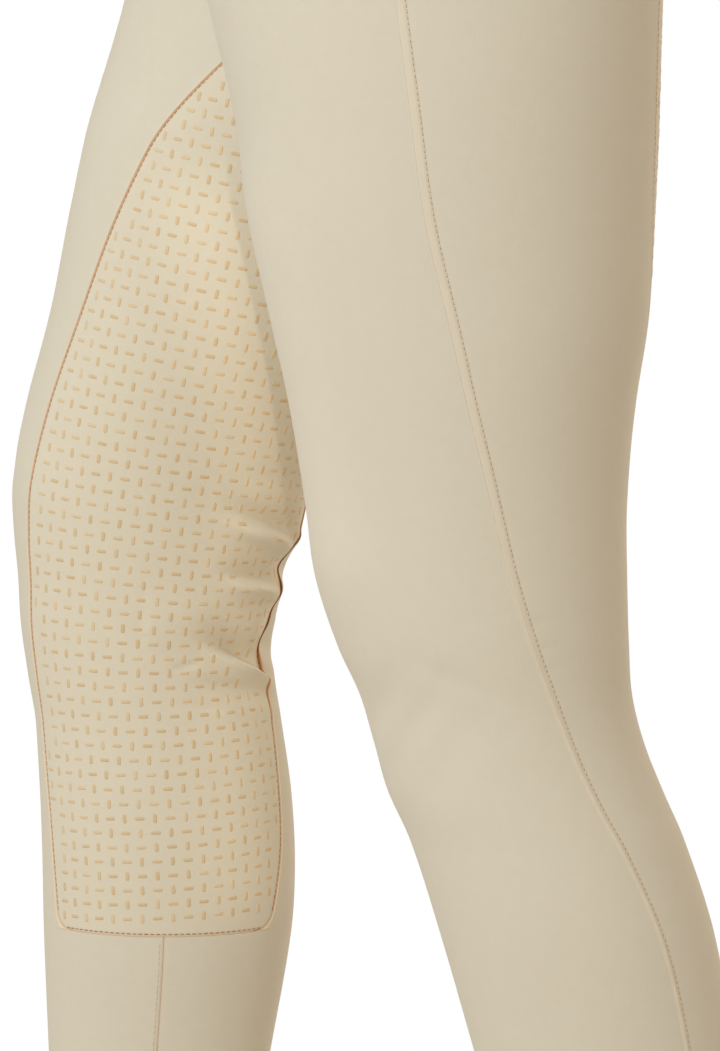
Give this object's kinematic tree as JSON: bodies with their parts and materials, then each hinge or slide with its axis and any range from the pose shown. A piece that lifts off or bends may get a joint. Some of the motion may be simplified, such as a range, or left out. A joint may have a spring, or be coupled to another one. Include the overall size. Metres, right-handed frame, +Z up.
{
  "type": "riding breeches",
  "caption": "Riding breeches with a full silicone grip seat, worn and hollow in a walking stance, open at the waist and the leg hems.",
  "frame": {"origin": "middle of the waist opening, at half the height of the waistband", "axes": "+Z up, -Y to the front of the garment, +X to the wearer's left"},
  "size_m": [0.3552, 0.3418, 0.9379],
  "materials": {
    "stretch_knit": "matte fine stretch knit, beige",
    "grip_knit": "matte stretch knit, warmer beige, under the silicone bars",
    "silicone": "satin, slightly translucent raised bars",
    "cuff_knit": "matte stretch knit, beige",
    "button_plastic": "polished, horn coloured",
    "thread": "matte polyester thread, tone in tone"
  },
  "bodies": {
    "root": {"front_left": "stretch_knit", "front_right": "stretch_knit", "back_left": "stretch_knit", "back_right": "stretch_knit", "grip_left": "grip_knit", "grip_right": "grip_knit", "waistband": "stretch_knit", "fly": "stretch_knit", "button": "button_plastic", "cuff_left": "cuff_knit", "cuff_right": "cuff_knit"}
  },
  "joints": []
}
